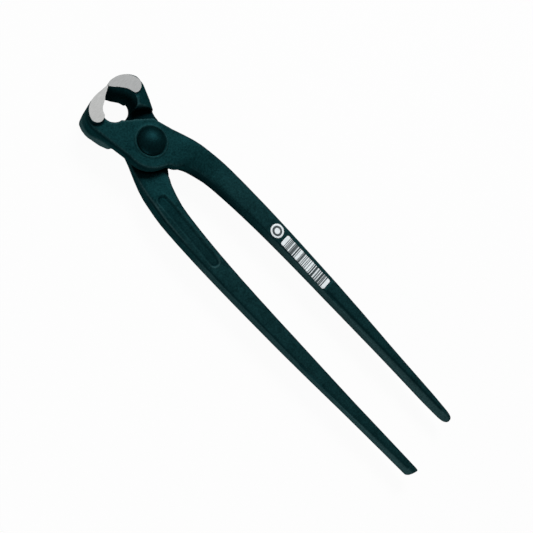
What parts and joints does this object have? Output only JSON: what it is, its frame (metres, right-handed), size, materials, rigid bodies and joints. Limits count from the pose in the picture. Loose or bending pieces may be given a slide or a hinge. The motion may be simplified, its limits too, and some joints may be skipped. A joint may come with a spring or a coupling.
{
  "type": "end-cutting nippers",
  "caption": "Forged end-cutting nippers with crossed arms on a domed rivet, curved jaws around a wire gap and long tapering handles.",
  "frame": {"origin": "on the table under the middle of the tool's length and width, level with the lower ground sides of the jaws", "axes": "+Y along the tool towards the jaws, +X to the right seen from the domed rivet head, +Z along the rivet towards that head"},
  "size_m": [0.0538, 0.279, 0.0212],
  "materials": {
    "lacquered_steel": "satin dark lacquer over a forged skin, jaws ground bright",
    "label_film": "printed matt film"
  },
  "bodies": {
    "front_half": {"front_arm": "lacquered_steel", "rivet": "lacquered_steel", "bar_label": "label_film", "round_label": "label_film"},
    "rear_half": {"rear_arm": "lacquered_steel"}
  },
  "joints": [
    {"name": "rivet_pivot", "type": "hinge", "parent": "front_half", "child": "rear_half", "pos_m": [0, 0.1018, 0.01], "axis": [0, 0, -1], "range_deg": [0, 36]}
  ]
}
